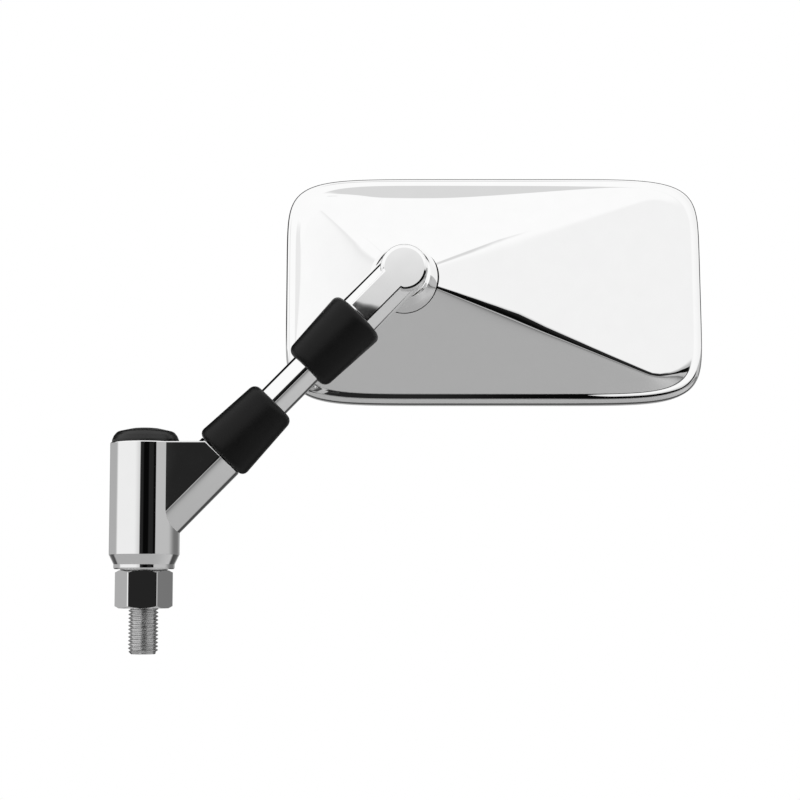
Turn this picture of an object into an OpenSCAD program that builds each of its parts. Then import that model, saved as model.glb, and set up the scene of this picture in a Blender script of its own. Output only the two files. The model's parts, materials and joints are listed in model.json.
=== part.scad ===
// Motorcycle mirror with a rectangular chromed head, a swivelling base and a jointed arm.
// Origin: on the stud's axis, in the plane of the lock nut's lower face.
// +Z runs up the stud, +X points to the head, the chromed back looks along -Y and the glass along +Y.

/* [Stud and lock nut] */
// Diameter of the mounting thread
stud_d = 10; // [8:0.5:12]
// Pitch of the mounting thread
stud_pitch = 1.25; // [1:0.25:1.5]
// Length of thread below the lock nut
stud_len = 15.3; // [10:0.1:30]
// Lock nut, across flats
lock_af = 17; // [16:0.5:19]
// Lock nut, height
lock_h = 12.7; // [8:0.1:14]
// Turn of the lock nut about the stud
lock_turn = 4; // [0:1:30]

/* [Swivel] */
// Diameter of the stem's thrust collar
collar_d = 16; // [14.5:0.1:16.5]
// Height of the stem's thrust collar
collar_h = 4; // [2:0.1:4.5]
// Thickness of the nylon thrust washer
thrust_t = 1; // [0.5:0.1:1.5]
// Diameter of the shaft that runs in the barrel
shaft_d = 10.8; // [10.4:0.1:12]
// Diameter of the thread at the top of the stem
top_thread_d = 8; // [6:0.5:8]
// Across flats of the self-locking nut
top_nut_af = 13; // [12.5:0.1:13.5]
// Height of the self-locking nut
top_nut_h = 7.5; // [6:0.1:7.8]
// Thickness of the friction washer
friction_t = 1.5; // [1:0.1:1.6]
// Sheet thickness of a disc spring
disc_t = 0.9; // [0.6:0.05:1]
// Rise of a disc spring's cone
disc_rise = 0.55; // [0.3:0.05:0.6]

/* [Base casting] */
// Outer diameter of the barrel
barrel_d = 23.7; // [23:0.1:26]
// Outer diameter of the short neck under the barrel
neck_d = 20.5; // [20:0.1:22]
// Gap between lock nut and barrel
barrel_gap = 0.4; // [0.2:0.1:1]
// Length of the barrel from its lower face to its top
barrel_len = 42.7; // [42:0.1:50]
// Depth of the counterbore under the cap
pocket_depth = 13; // [12.6:0.1:13.6]
// Diameter of the counterbore under the cap
pocket_d = 18.5; // [18:0.1:19]
// Height of the elbow, where the arm's axis leaves the stud's axis
elbow_z = 25.6; // [25:0.1:27]
// Rise of the arm above the horizontal
arm_angle = 45.5; // [44:0.5:48]
// Outer diameter of the arm socket
socket_d = 17.4; // [16:0.1:18]
// Length from the elbow to the socket's end face
socket_len = 36.4; // [35:0.1:40]
// Depth of the threaded hole in the socket
socket_hole = 15.9; // [12:0.1:16.5]

/* [Cap] */
// Height of the cap above the barrel
cap_h = 5.2; // [4.6:0.1:7]
// Wall of the cap
cap_wall = 1.4; // [1:0.1:1.8]
// Depth of the cap's skirt in the counterbore
cap_skirt = 4; // [3:0.1:5]

/* [Arm] */
// Diameter of the bare rod
rod_d = 11.5; // [11:0.1:13]
// Diameter of the rod's threaded ends
rod_thread_d = 10; // [9:0.1:10.4]
// Length of bare rod between the boots
rod_bare = 15.7; // [10:0.1:40]
// Length of a rubber boot
boot_len = 25.5; // [22:0.1:30]
// Diameter of a boot at its wide end
boot_wide_d = 21.1; // [20.5:0.1:22]
// Diameter of a boot at its narrow end
boot_thin_d = 17.9; // [16:0.1:19]
// Radius on a boot's end corners
boot_round = 2.4; // [1:0.1:3]
// Jam nuts under the boots, across flats
jam_af = 14; // [13:0.5:14.5]
// Jam nuts under the boots, height
jam_h = 8; // [5:0.1:10]

/* [Knuckle] */
// Diameter of the knuckle's bar
bar_d = 16; // [15:0.1:16.2]
// Distance of the flat front from the arm's axis
flat_off = 6.9; // [6.4:0.1:7.2]
// Diameter of the round end
disc_d = 16.2; // [16.2:0.1:17.5]
// Thickness of the round end
disc_h = 11.9; // [10:0.1:12]
// Length from the upper boot to the centre of the round end
knuckle_len = 22; // [21:0.1:26]
// Depth of the threaded hole in the knuckle
knuckle_hole = 12.6; // [9:0.1:13]
// Radius of the ball
ball_r = 9.5; // [9:0.1:9.6]
// Distance of the ball's centre behind the flat front
ball_back = 23.8; // [23.6:0.1:27]
// Diameter of the neck between knuckle and ball
ball_neck_d = 8; // [7:0.1:8.4]

/* [Ball joint] */
// Wall of the nylon ball seats
seat_wall = 1.2; // [1:0.1:1.4]
// Wall of the socket cup
cup_wall = 1.2; // [1:0.1:1.4]
// Half-angle of the cup's opening around the neck
cup_mouth = 49; // [48.5:0.1:50]
// Depth of the cup's flange behind the ball's centre
cup_depth = 8; // [8:0.1:9]
// Radius of the cup's flange and of the clamp plate
flange_r = 18.4; // [18.4:0.1:18.8]
// Gap between the cup's flange and the clamp plate
clamp_gap = 1.2; // [0.8:0.1:1.6]
// Radius of the circle on which the clamp screws stand
screw_ring_r = 15.3; // [15.2:0.1:15.4]
// Number of clamp screws
screw_count = 3; // [3:1:4]
// Diameter of the clamp screws
screw_d = 4; // [3:0.5:4]
// Compressed length of the clamp springs
spring_len = 3.8; // [3:0.1:4]
// Wire of the clamp springs
spring_wire = 0.8; // [0.5:0.1:0.8]
// Height of the clamp nuts
clamp_nut_h = 2.6; // [2:0.1:2.8]

/* [Head] */
// Width of the head
head_w = 149.4; // [140:0.1:170]
// Height of the head
head_h = 83.4; // [80:0.1:90]
// Squareness of the head's outline, the exponent of its superellipse
head_square = 7; // [6:0.5:9]
// Distance of the ball joint from the middle of the head
boss_off = 32.2; // [20:0.1:34]
// Backward lean of the head
head_tilt = 5; // [0:1:8]
// Distance from the ball's centre back to the head's rim flange
rim_depth = 15.5; // [15:0.1:17]
// Rise of the pyramid's apex above the rim flange
apex_rise = 20; // [18:0.5:22]
// Width of the strip along the pyramid's top crease, above the ball joint
strip_w = 4.7; // [1:0.1:6]
// How steeply the ridges fall off at the flange's corners
corner_steep = 2; // [1.5:0.1:2.5]
// Width of the rim flange
rim_w = 3.3; // [3:0.1:4]
// Depth of the skirt from the flange to the front edge
skirt_h = 8.5; // [8.5:0.1:11]
// Wall of the pressed shell
shell_wall = 0.9; // [0.7:0.05:1]
// Width of the lip that holds the glass
lip_w = 3.2; // [2.8:0.1:4]

/* [Glass] */
// Thickness of the glass
glass_t = 2.5; // [1.8:0.1:2.6]
// Radius of the glass's convex face
glass_r = 1400; // [1200:50:2000]
// Width and height of the foam pad as a share of the glass
pad_share = 0.6; // [0.4:0.05:0.65]

/* [Hidden] */

chrome = [0.86, 0.87, 0.89];
zinc = [0.62, 0.63, 0.62];
steel = [0.5, 0.51, 0.52];
black_rubber = [0.07, 0.07, 0.07];
black_plastic = [0.1, 0.1, 0.1];
nylon = [0.85, 0.84, 0.78];
silvered = [0.75, 0.8, 0.82];
foam = [0.25, 0.25, 0.27];

// Radius of the mounting thread at the middle of its flanks
stud_flank_r = stud_d / 2 - 0.325 * stud_pitch;

// Radial clearance of turning fits, clearance along an axis, clearance between threads,
// and the gap at a jam nut's face
run_fit = 0.05;
face_fit = 0.05;
thread_fit = 0.05;
nut_fit = 0.1;
ball_fit = 0.1;
// Depth of the chamfer on the tips of threads
tip = 1;
// How far a cutting body passes through a face
cut = 1;
round_fn = 96;

// Levels along the stud
collar_z = lock_h;
thrust_z = collar_z + collar_h;
shoulder_z = thrust_z + thrust_t + face_fit;
barrel_z = lock_h + barrel_gap;
barrel_top = barrel_z + barrel_len;
pocket_z = barrel_top - pocket_depth;
friction_z = pocket_z + face_fit;
disc_z = friction_z + friction_t;
disc_h_all = disc_t + disc_rise;
top_nut_z = disc_z + 2 * disc_h_all;
insert_h = 1.8;
stem_top = top_nut_z + top_nut_h + 1;
neck_h = 1.6;
taper_h = 3.3;

// Lengths along the arm, from the elbow
lower_boot_s = socket_len + face_fit;
bare_s = lower_boot_s + boot_len;
upper_boot_s = bare_s + rod_bare;
knuckle_s = upper_boot_s + boot_len + face_fit;
disc_s = knuckle_s + knuckle_len;
jam_room = 1.2;

// The ball's centre, and the sizes around it
ball_x = disc_s * cos(arm_angle);
ball_y = ball_back - flat_off;
ball_z = elbow_z + disc_s * sin(arm_angle);
seat_in = ball_r + ball_fit;
seat_out = seat_in + seat_wall;
cup_in = seat_out + ball_fit;
cup_out = cup_in + cup_wall;
flange_t = 1.2;
flange_z = -cup_depth;
plate_t = 1.2;
plate_z = flange_z - flange_t - clamp_gap;
screw_head_h = 1.3;
screw_head_r = 1.45 * screw_d / 2;
spring_z = plate_z - plate_t;
clamp_nut_z = spring_z - spring_len;
screw_end = clamp_nut_z - clamp_nut_h - 0.3;

// The head's levels, measured from the ball's centre
rim_z = -rim_depth;
front_z = rim_z - skirt_h;
hole_r = cup_out + 0.15;
rim_drop = 0.45;
crease_w = 0.4;
strip_share = 0.65;
outline_n = 96;
glass_edge = 2.8;
glass_front = front_z + shell_wall + 0.2;

// A point and a frame on the arm's axis, s from the elbow
function arm_point(s) = [s * cos(arm_angle), elbow_z + s * sin(arm_angle)];

module at_arm(s = 0) {
    translate([0, 0, elbow_z])
        rotate([0, 90 - arm_angle, 0])
            translate([0, 0, s])
                children();
}

// The head's frame: origin at the ball's centre, +Z out of the chromed back, +Y up the head
module at_head() {
    translate([ball_x, ball_y, ball_z])
        rotate([90 - head_tilt, 0, 0])
            children();
}

// A ring turned about Z, from z0 to z1
module ring(r_out, r_in, z0, z1) {
    translate([0, 0, z0])
        difference() {
            cylinder(r = r_out, h = z1 - z0, $fn = round_fn);
            translate([0, 0, -cut])
                cylinder(r = r_in, h = z1 - z0 + 2 * cut, $fn = round_fn);
        }
}

// A hexagon nut with both ends chamfered, standing on z = 0
module hex_nut(af, h, bore_r, bevel = 0.5) {
    corner_r = af / sqrt(3);
    slope = corner_r - af / 2 + 0.1;
    difference() {
        intersection() {
            cylinder(r = corner_r, h = h, $fn = 6);
            rotate_extrude($fn = round_fn)
                polygon([
                    [0, 0], [corner_r - slope, 0], [corner_r, bevel],
                    [corner_r, h - bevel], [corner_r - slope, h], [0, h]
                ]);
        }
        translate([0, 0, -cut])
            cylinder(r = bore_r, h = h + 2 * cut, $fn = round_fn);
    }
}

// Points of a quarter arc about a centre, from angle a0 to a1
function arc(c, r, a0, a1, n = 6) = [for (i = [0:n]) c + r * [cos(a0 + (a1 - a0) * i / n), sin(a0 + (a1 - a0) * i / n)]];

// The middle of a loop of points
function middle(points) = [for (c = [0:2]) let (all = [for (p = points) p[c]]) all * [for (p = points) 1] / len(points)];

// A solid through closed loops of points, each loop as long as the next.
// A looped one joins its last loop to its first, any other is closed by a fan at both ends.
module loft(loops, looped = false) {
    n = len(loops[0]);
    m = len(loops);
    bands = looped ? m : m - 1;
    walls = [
        for (k = [0:bands - 1])
            for (i = [0:n - 1])
                let (j = (i + 1) % n, up = (k + 1) % m)
                    for (t = [[k * n + i, up * n + i, up * n + j], [k * n + i, up * n + j, k * n + j]]) t
    ];
    first_end = [for (i = [0:n - 1]) [m * n, i, (i + 1) % n]];
    last_end = [for (i = [0:n - 1]) [m * n + 1, (m - 1) * n + (i + 1) % n, (m - 1) * n + i]];
    points = [for (l = loops) for (p = l) p];
    if (looped)
        polyhedron(points, walls, convexity = 6);
    else
        polyhedron(
            concat(points, [middle(loops[0]), middle(loops[m - 1])]),
            concat(walls, first_end, last_end),
            convexity = 6
        );
}

// The head's outline in its own plane, a superellipse drawn in by an inset.
// The angle is warped so that the points crowd into the corners.
function spread(t) = t + 0.75 * sin(4 * t) / 4 * 180 / PI;
function unit_rim(a) =
    let (k = pow(pow(abs(cos(a)), head_square) + pow(abs(sin(a)), head_square), -1 / head_square))
        [k * cos(a), k * sin(a)];
function rim_point(i, inset) =
    let (u = unit_rim(spread(360 * i / outline_n)))
        [boss_off + (head_w / 2 - inset) * u.x, (head_h / 2 - inset) * u.y];
function rim_loop(inset, z) = [for (i = [0:outline_n - 1]) let (p = rim_point(i, inset)) [p.x, p.y, z]];

// Distances from the apex to the crease, where the pyramid meets the rim flange
right_a = boss_off + head_w / 2 - rim_w;
left_a = head_w / 2 - rim_w - boss_off;
half_b = head_h / 2 - rim_w;

// A smooth step from 0 at a to 1 at b
function ramp(x, a, b) = let (t = min(1, max(0, (x - a) / (b - a)))) t * t * (3 - 2 * t);

// Share of a facet at which it gives way to the strip along the crease. The strip is narrow
// all around and widens along the top, most of all above the ball joint.
function top_strip(q) =
    q.y > 0
        ? strip_w * ramp(q.y / half_b, 0.85, 1) * ramp(q.x, -1.07 * left_a, -0.2 * left_a)
            * (1 - ramp(q.x, 0.1 * right_a, 0.92 * right_a))
        : 0;
function shoulder(q) = 1 - crease_w / norm(q) - top_strip(q) / half_b;

// Share of the pyramid's height that is lost at share f of the way to the shoulder. Four planes meet
// in ridges that sharpen outwards, and at the flange's round corners the ridges fall off steeply.
function fall(f, q) =
    let (
        n = 5 + 25 * pow(f, 1.6),
        u = q.x > 0 ? q.x / right_a : -q.x / left_a,
        v = abs(q.y) / half_b,
        a = f * pow(pow(u, n) + pow(v, n), 1 / n),
        b = 1 - corner_steep * (1 - f),
        w = min(0.02, 1 - f),
        over = w > 0 ? pow(max(w - abs(a - b), 0), 2) / (4 * w) : 0
    )
        f < 1 ? min(1, max(a, b) + over) : 1;
function facet_point(q, f, drop) =
    let (
        s = shoulder(q),
        lift = strip_share * apex_rise * (1 - s)
    )
        [q.x * f * s, q.y * f * s, rim_z + lift + (apex_rise - lift) * (1 - fall(f, q)) - drop];
function facet_loop(f, drop) = [for (i = [0:outline_n - 1]) facet_point(rim_point(i, rim_w), f, drop)];
// The edge of the hole for the socket cup, drawn on the same pyramid
function hole_loop(drop) = [
    for (i = [0:outline_n - 1])
        let (q = rim_point(i, rim_w))
            facet_point(q, hole_r / norm(q) / shoulder(q), drop)
];

// Depth of the glass's front face at a point, a shallow sphere about the head's middle
function glass_z(p, back) = glass_front + back + (pow(p.x - boss_off, 2) + pow(p.y, 2)) / (2 * glass_r);
function glass_loop(share, inset, back) = [
    for (i = [0:outline_n - 1])
        let (
            q = rim_point(i, inset),
            p = [boss_off + (q.x - boss_off) * share, q.y * share]
        )
            [p.x, p.y, glass_z(p, back)]
];

// Stem: mounting thread, thrust collar, shaft and top thread, turned in one piece
module pivot_stem() {
    r = stud_d / 2;
    top_r = top_thread_d / 2;
    color(zinc)
        rotate_extrude($fn = round_fn)
            polygon([
                [0, -stud_len], [r - tip, -stud_len], [r, tip - stud_len], [r, 0],
                // inside the lock nut the thread is drawn at the middle of its flanks
                [stud_flank_r, 0], [stud_flank_r, collar_z],
                [collar_d / 2, collar_z], [collar_d / 2, thrust_z],
                [shaft_d / 2, thrust_z], [shaft_d / 2, friction_z + 0.8 * friction_t],
                [top_r, friction_z + 0.8 * friction_t], [top_r, stem_top - tip],
                [top_r - tip, stem_top], [0, stem_top]
            ]);
}

module lock_nut() {
    bore_r = stud_flank_r + thread_fit;
    sink_r = stud_d / 2 + 0.35;
    color(chrome)
        rotate([0, 0, lock_turn])
            difference() {
                hex_nut(lock_af, lock_h, bore_r, 0.8);
                // countersink at the lower face, where the stud comes out at its full diameter
                rotate_extrude($fn = round_fn)
                    polygon([
                        [0, -cut], [sink_r, -cut], [sink_r, 0], [bore_r, sink_r - bore_r], [0, sink_r - bore_r]
                    ]);
            }
}

module thrust_washer() {
    color(nylon)
        ring(collar_d / 2 - 0.1, shaft_d / 2 + run_fit, thrust_z, thrust_z + thrust_t);
}

module friction_washer() {
    color(steel)
        ring(0.46 * pocket_d, shaft_d / 2 + run_fit, friction_z, friction_z + friction_t);
}

// One disc spring, a shallow cone whose foot is its outer edge
module disc_spring() {
    r_in = 0.525 * top_thread_d;
    r_out = 0.43 * pocket_d;
    rotate_extrude($fn = round_fn)
        polygon([
            [r_out, 0], [r_out, disc_t], [r_in, disc_t + disc_rise], [r_in, disc_rise]
        ]);
}

// Two disc springs, stacked with their outer edges apart
module disc_springs() {
    color(steel) {
        translate([0, 0, disc_z])
            disc_spring();
        translate([0, 0, disc_z + 2 * disc_h_all])
            rotate([180, 0, 0])
                disc_spring();
    }
}

// Self-locking nut, with the room for its nylon ring turned out of its top
module top_nut() {
    color(steel)
        translate([0, 0, top_nut_z])
            difference() {
                hex_nut(top_nut_af, top_nut_h, top_thread_d / 2 + thread_fit);
                translate([0, 0, top_nut_h - insert_h])
                    cylinder(d = top_thread_d + 2.6, h = insert_h + cut, $fn = round_fn);
            }
}

module top_nut_insert() {
    top = top_nut_z + top_nut_h;
    color(nylon)
        ring(top_thread_d / 2 + 1.3, top_thread_d / 2, top - insert_h, top);
}

// Base casting: barrel, arm socket and the web between them, with the bores of the swivel
module base_casting() {
    r = barrel_d / 2;
    edge = 0.5;
    color(chrome)
        difference() {
            union() {
                rotate_extrude($fn = round_fn)
                    polygon([
                        [0, barrel_z], [neck_d / 2 - edge, barrel_z], [neck_d / 2, barrel_z + edge],
                        [neck_d / 2, barrel_z + neck_h], [r, barrel_z + neck_h + taper_h],
                        [r, barrel_top - edge], [r - edge, barrel_top], [0, barrel_top]
                    ]);
                at_arm()
                    rotate_extrude($fn = round_fn)
                        polygon([
                            [0, 0], [socket_d / 2, 0], [socket_d / 2, socket_len - edge],
                            [socket_d / 2 - edge, socket_len], [0, socket_len]
                        ]);
                casting_web();
            }
            translate([0, 0, barrel_z - cut])
                cylinder(r = collar_d / 2 + 0.2, h = shoulder_z - barrel_z + cut, $fn = round_fn);
            cylinder(r = shaft_d / 2 + run_fit, h = barrel_top, $fn = round_fn);
            translate([0, 0, pocket_z])
                cylinder(d = pocket_d, h = pocket_depth + cut, $fn = round_fn);
            at_arm(socket_len - socket_hole)
                cylinder(r = rod_thread_d / 2 + thread_fit, h = socket_hole + cut, $fn = round_fn);
        }
}

// The flat-sided web fills the angle between barrel and socket, up to the barrel's top
module casting_web() {
    end_s = socket_len - 0.5;
    top_x = (end_s - (barrel_top - elbow_z) * sin(arm_angle)) / cos(arm_angle);
    rotate([90, 0, 0])
        linear_extrude(socket_d - 0.2, center = true)
            polygon([[0, elbow_z], arm_point(end_s), [top_x, barrel_top], [0, barrel_top]]);
}

// Domed cap, pressed into the counterbore
module top_cap() {
    base_r = barrel_d / 2 - 0.5;
    in_r = max(min(pocket_d / 2, base_r - 1.5 * cap_wall) - 0.65, top_nut_af / sqrt(3) + 0.3);
    z = barrel_top;
    color(black_plastic)
        rotate_extrude($fn = round_fn)
            polygon([
                [in_r, z - cap_skirt], [pocket_d / 2 - 0.02, z - cap_skirt], [pocket_d / 2 - 0.02, z],
                [base_r, z], [base_r, z + 0.15 * cap_h],
                [0.947 * base_r, z + 0.44 * cap_h], [0.903 * base_r, z + 0.6 * cap_h],
                [0.806 * base_r, z + 0.77 * cap_h], [0.612 * base_r, z + 0.9 * cap_h],
                [0.348 * base_r, z + 0.98 * cap_h], [0, z + cap_h],
                [0, z + cap_h - cap_wall], [in_r - 2, z + cap_h - cap_wall - 0.6], [in_r, z + cap_h - cap_wall - 1.8]
            ]);
}

// Rod with a threaded spigot at each end
module arm_rod() {
    r = rod_thread_d / 2;
    s0 = socket_len - socket_hole + 0.5;
    s1 = knuckle_s + knuckle_hole - 0.5;
    thick0 = socket_len + jam_h + 1.5;
    thick1 = knuckle_s - jam_h - 1.5;
    color(chrome)
        at_arm()
            rotate_extrude($fn = round_fn)
                polygon([
                    [0, s0], [r - tip, s0], [r, s0 + tip], [r, thick0], [rod_d / 2, thick0],
                    [rod_d / 2, thick1], [r, thick1], [r, s1 - tip], [r - tip, s1], [0, s1]
                ]);
}

module lower_jam_nut() {
    color(zinc)
        at_arm(socket_len + nut_fit)
            hex_nut(jam_af, jam_h, rod_thread_d / 2 + thread_fit);
}

module upper_jam_nut() {
    color(zinc)
        at_arm(knuckle_s - nut_fit - jam_h)
            hex_nut(jam_af, jam_h, rod_thread_d / 2 + thread_fit);
}

// Rubber boot, its wide open end at z = 0: a room for the jam nut, then a hole that grips the rod
module boot() {
    wide = boot_wide_d / 2;
    thin = boot_thin_d / 2;
    q = boot_round;
    room_r = jam_af / sqrt(3) + 0.2;
    // the open end's corner is limited by the wall around the nut's room
    lip = min(q, wide - room_r - 0.2);
    room = jam_h + jam_room;
    color(black_rubber)
        rotate_extrude($fn = round_fn)
            polygon(concat(
                [[room_r, 0]],
                arc([wide - lip, lip], lip, -90, 0),
                arc([thin - q, boot_len - q], q, 0, 90),
                [[rod_d / 2 + 0.02, boot_len], [rod_d / 2 + 0.02, room + 0.8], [room_r, room]]
            ));
}

module lower_boot() {
    at_arm(lower_boot_s)
        boot();
}

module upper_boot() {
    at_arm(knuckle_s - face_fit)
        rotate([180, 0, 0])
            boot();
}

// Knuckle: a bar with a flat front that ends in a round, and the ball stud behind it
module knuckle() {
    bar_r = bar_d / 2;
    disc_r = disc_d / 2;
    edge = 0.9;
    rear = disc_h - flat_off;
    trim_s = disc_s - 13;
    color(chrome)
        union() {
            difference() {
                union() {
                    at_arm(knuckle_s)
                        cylinder(r = bar_r, h = disc_s - knuckle_s, $fn = round_fn);
                    translate([ball_x, rear, ball_z])
                        rotate([90, 0, 0])
                            rotate_extrude($fn = round_fn)
                                polygon(concat(
                                    [[0, 0], [disc_r - edge, 0], [disc_r, edge]],
                                    arc([disc_r - edge, disc_h - edge], edge, 0, 90),
                                    [[0, disc_h]]
                                ));
                }
                // the flat front, and the flat behind that keeps clear of the socket cup
                at_arm(knuckle_s - cut)
                    translate([-bar_r - cut, -bar_r - cut - flat_off, 0])
                        cube([bar_d + 2 * cut, bar_r + cut, disc_s - knuckle_s + disc_d]);
                at_arm(trim_s)
                    translate([-bar_r - cut, rear, 0])
                        cube([bar_d + 2 * cut, bar_r, disc_s - trim_s + disc_d]);
                at_arm(knuckle_s - cut)
                    cylinder(r = rod_thread_d / 2 + thread_fit, h = knuckle_hole + cut, $fn = round_fn);
            }
            translate([ball_x, ball_y, ball_z])
                rotate([90, 0, 0])
                    cylinder(d = ball_neck_d, h = ball_y - rear + 0.5, $fn = round_fn);
            translate([ball_x, ball_y, ball_z])
                sphere(r = ball_r, $fn = round_fn);
        }
}

// A band of a hollow ball between two planes, standing on the head's axis
module ball_band(r_out, r_in, z0, z1) {
    intersection() {
        difference() {
            sphere(r = r_out, $fn = round_fn);
            sphere(r = r_in, $fn = round_fn);
        }
        translate([0, 0, z0])
            cylinder(r = 2 * r_out, h = z1 - z0, $fn = round_fn);
    }
}

module ball_seat_front() {
    color(nylon)
        at_head()
            ball_band(seat_out, seat_in, 0.35, seat_out * cos(cup_mouth) - 0.2);
}

module ball_seat_rear() {
    color(nylon)
        at_head()
            ball_band(seat_out, seat_in, -0.78 * seat_out, -0.22 * seat_out);
}

// Socket cup: the dome that shows on the back, a straight wall and a flange behind the shell
module socket_cup() {
    color(chrome)
        at_head()
            difference() {
                union() {
                    ball_band(cup_out, cup_in, 0, cup_out * cos(cup_mouth));
                    ring(cup_out, cup_in, flange_z - flange_t, 0);
                    ring(flange_r, cup_in, flange_z - flange_t, flange_z);
                }
                at_screws(flange_z - flange_t - cut)
                    cylinder(r = screw_d / 2 + thread_fit, h = flange_t + 2 * cut, $fn = round_fn);
            }
}

// The places of the clamp screws
module at_screws(z) {
    for (i = [0:screw_count - 1])
        rotate([0, 0, 360 * i / screw_count])
            translate([screw_ring_r, 0, z])
                children();
}

// Clamp plate: a flat plate whose dished middle presses on the rear seat
module clamp_plate() {
    dish_out = cup_in + 0.85 * plate_t;
    plate_hole_r = 0.41 * cup_in;
    color(steel)
        at_head()
            difference() {
                union() {
                    ball_band(dish_out, cup_in, plate_z, -0.53 * cup_in);
                    intersection() {
                        ring(flange_r, plate_hole_r, plate_z - plate_t, plate_z);
                        difference() {
                            cylinder(r = flange_r + cut, h = 4 * flange_r, center = true, $fn = round_fn);
                            sphere(r = cup_in, $fn = round_fn);
                        }
                    }
                }
                at_screws(plate_z - plate_t - cut)
                    cylinder(r = screw_d / 2 + 0.2, h = plate_t + 2 * cut, $fn = round_fn);
            }
}

// Clamp screws, their low heads against the cup's flange
module clamp_screws() {
    r = screw_d / 2;
    color(zinc)
        at_head()
            at_screws(0)
                rotate_extrude($fn = 48)
                    polygon([
                        [0, screw_end], [r - 0.4, screw_end], [r, screw_end + 0.4], [r, flange_z],
                        [screw_head_r, flange_z], [screw_head_r, flange_z + 0.6 * screw_head_h],
                        [screw_head_r - 0.4, flange_z + screw_head_h], [0, flange_z + screw_head_h]
                    ]);
}

// One coil spring around a clamp screw, between z0 and z0 + len
module coil_spring(len, turns = 3.5, sides = 6, steps = 14) {
    mean_r = screw_d / 2 + 0.2 + spring_wire / 2;
    rise = len - spring_wire;
    count = ceil(turns * steps);
    loft([
        for (k = [0:count])
            let (a = 360 * turns * k / count, z = spring_wire / 2 + rise * k / count)
                [
                    for (i = [0:sides - 1])
                        let (b = -360 * i / sides, r = mean_r + spring_wire / 2 * cos(b))
                            [r * cos(a), r * sin(a), z + spring_wire / 2 * sin(b)]
                ]
    ]);
}

module clamp_springs() {
    color(steel)
        at_head()
            at_screws(clamp_nut_z)
                coil_spring(spring_len);
}

module clamp_nuts() {
    color(zinc)
        at_head()
            at_screws(clamp_nut_z - clamp_nut_h)
                hex_nut(1.75 * screw_d, clamp_nut_h, screw_d / 2 + thread_fit, 0.3);
}

// Back shell, one pressing: the off-centre pyramid, the flange, the skirt and the rolled lip.
// The loops run from the hole over the outside to the lip, and back along the inside.
module back_shell() {
    w = shell_wall;
    // a slope makes a wall measure more along the head's axis
    deep = 1.12 * w;
    rim = rim_z;
    front = front_z;
    draft = 0.35;
    outside = [
        hole_loop(0), facet_loop(0.55, 0), facet_loop(0.76, 0), facet_loop(0.9, 0), facet_loop(0.96, 0),
        facet_loop(1, 0), rim_loop(rim_w, rim),
        rim_loop(0.5 * rim_w, rim - 0.4 * rim_drop), rim_loop(0.9, rim - rim_drop),
        rim_loop(0.3, rim - rim_drop - 0.5), rim_loop(0, rim - rim_drop - 1.4),
        rim_loop(draft, front + 1), rim_loop(draft + 0.4, front + 0.3), rim_loop(draft + 1.1, front),
        rim_loop(lip_w, front)
    ];
    inside = [
        rim_loop(lip_w, front + w), rim_loop(draft + 1.4, front + w), rim_loop(draft + w, front + 1.5),
        rim_loop(w, rim - rim_drop - 1.6), rim_loop(w + 0.4, rim - rim_drop - w - 0.1),
        rim_loop(rim_w, rim - w), facet_loop(1, w), facet_loop(0.9, deep), facet_loop(0.55, deep),
        hole_loop(deep)
    ];
    color(chrome)
        at_head()
            loft(concat(outside, inside), looped = true);
}

// Convex mirror glass
module mirror_glass() {
    shares = [0.3, 0.65, 1];
    color(silvered)
        at_head()
            loft(concat(
                [for (s = shares) glass_loop(s, glass_edge, 0)],
                [for (k = [len(shares) - 1:-1:0]) glass_loop(shares[k], glass_edge, glass_t)]
            ));
}

// Rubber channel around the edge of the glass, seated behind the shell's lip
module glass_gasket() {
    seat = front_z + shell_wall + 0.02;
    outer = 0.35 + shell_wall + 0.25;
    inner = lip_w + 0.9;
    gap = 0.02;
    top = 0.7;
    color(black_rubber)
        at_head()
            loft([
                rim_loop(outer + 0.4, seat),
                glass_loop_at(outer, glass_t + top),
                glass_loop_at(inner, glass_t + top),
                glass_loop_at(inner, glass_t + gap),
                glass_loop_at(glass_edge - gap, glass_t + gap),
                glass_loop_at(glass_edge - gap, -gap),
                glass_loop_at(inner, -gap),
                rim_loop(inner, seat)
            ], looped = true);
}
function glass_loop_at(inset, back) = glass_loop(1, inset, back);

// Foam pad bonded to the back of the glass
module backing_pad() {
    rear = screw_end - 0.5;
    flat_loop = [for (p = glass_loop(pad_share, glass_edge, 0)) [p.x, p.y, rear]];
    color(foam)
        at_head()
            loft([glass_loop(pad_share, glass_edge, glass_t), flat_loop]);
}

pivot_stem();
lock_nut();
thrust_washer();
friction_washer();
disc_springs();
top_nut();
top_nut_insert();
base_casting();
top_cap();
arm_rod();
lower_jam_nut();
upper_jam_nut();
lower_boot();
upper_boot();
knuckle();
ball_seat_front();
ball_seat_rear();
back_shell();
socket_cup();
clamp_plate();
clamp_screws();
clamp_springs();
clamp_nuts();
mirror_glass();
glass_gasket();
backing_pad();
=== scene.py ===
"""Motorcycle mirror: a chromed head on a ball joint, a rod between two rubber boots and a swivelling
base on a threaded stud. Pieces are made in millimetres on their own axis and then set in their place."""
import json
import math

import bmesh
import bpy
from mathutils import Matrix, Vector


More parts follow.
